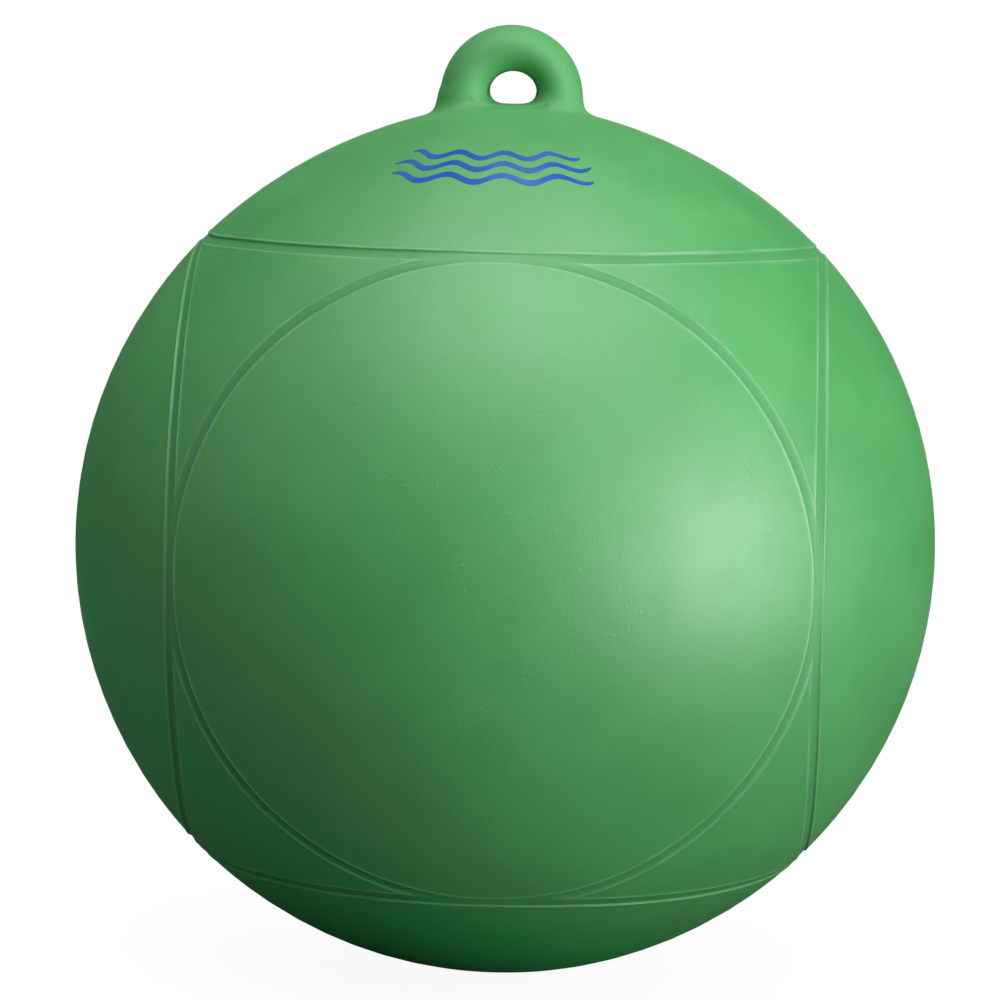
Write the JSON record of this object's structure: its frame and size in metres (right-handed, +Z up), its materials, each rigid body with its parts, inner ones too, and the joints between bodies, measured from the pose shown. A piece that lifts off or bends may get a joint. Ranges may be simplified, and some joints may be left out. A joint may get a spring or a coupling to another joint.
{
  "type": "waterski buoy",
  "caption": "Round inflatable waterski course buoy of soft vinyl, with shallow circular grooves, a moulded rope eye on its crown and a screw-plug air valve behind the eye.",
  "frame": {"origin": "on the ball's upright axis, in the plane of the water that the buoy floats in, 35.5 mm above its lowest point", "axes": "+Z up through the rope eye, +Y along the eye's hole towards the side with the air valve, -Y is the front"},
  "size_m": [0.216, 0.216, 0.2379],
  "materials": {
    "vinyl": "soft moulded vinyl, satin",
    "nylon": "moulded nylon",
    "seal": "moulded rubber"
  },
  "bodies": {
    "buoy": {"ball_shell": "vinyl", "rope_eye": "vinyl", "valve_seat": "nylon"},
    "plug": {"valve_plug": "nylon", "plug_gasket": "seal"}
  },
  "joints": [
    {"name": "plug_pull", "type": "slide", "parent": "buoy", "child": "plug", "axis": [0, 0.4695, 0.8829], "range_m": [0, 0.02]}
  ]
}
